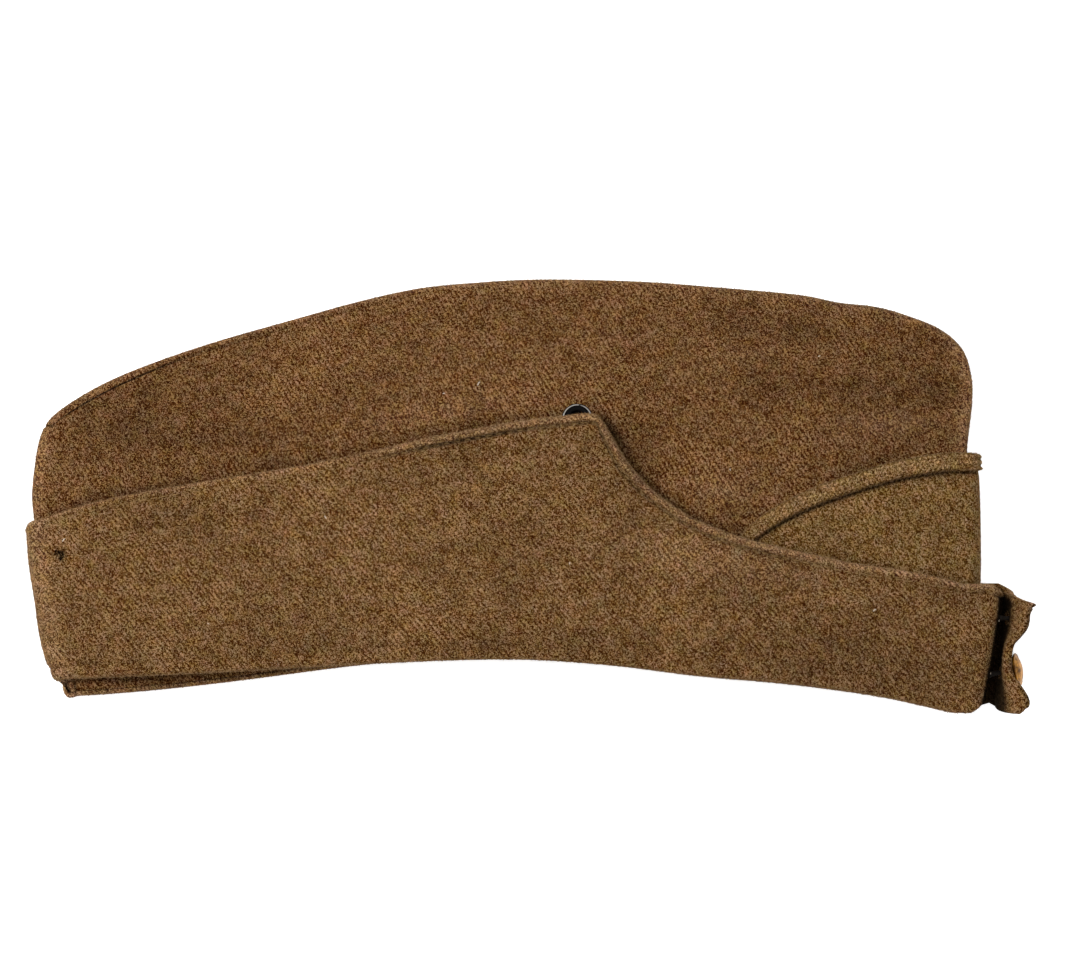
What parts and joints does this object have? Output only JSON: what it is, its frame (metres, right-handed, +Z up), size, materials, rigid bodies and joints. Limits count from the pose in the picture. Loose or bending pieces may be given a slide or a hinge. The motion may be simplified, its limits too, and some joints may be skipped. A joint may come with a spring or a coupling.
{
  "type": "garrison cap",
  "caption": "Folding wool side cap with turned-up side curtains buttoned at the front, a small soft turned-up peak and vent eyelets, lying flat.",
  "frame": {"origin": "on the table the cap lies on, below the middle of its bounding box", "axes": "+X towards the front of the cap, +Y from the rim towards the ridge, +Z up, out of the cap's right side"},
  "size_m": [0.3036, 0.1306, 0.0286],
  "materials": {
    "crown_serge": "khaki brown wool serge, milled and fuzzy, single layer",
    "curtain_serge": "khaki brown wool serge, milled and fuzzy, double layer",
    "peak_serge": "khaki brown wool serge, rolled and stitched along its top edge",
    "button_brass": "plain domed brass, dulled",
    "japanned_eyelet": "black japanned, worn bright along its rim"
  },
  "bodies": {
    "root": {"crown_right": "crown_serge", "crown_left": "crown_serge", "curtain_right": "curtain_serge", "curtain_left": "curtain_serge", "peak": "peak_serge", "button_upper": "button_brass", "button_lower": "button_brass", "eyelet_right": "japanned_eyelet", "eyelet_left": "japanned_eyelet"}
  },
  "joints": []
}
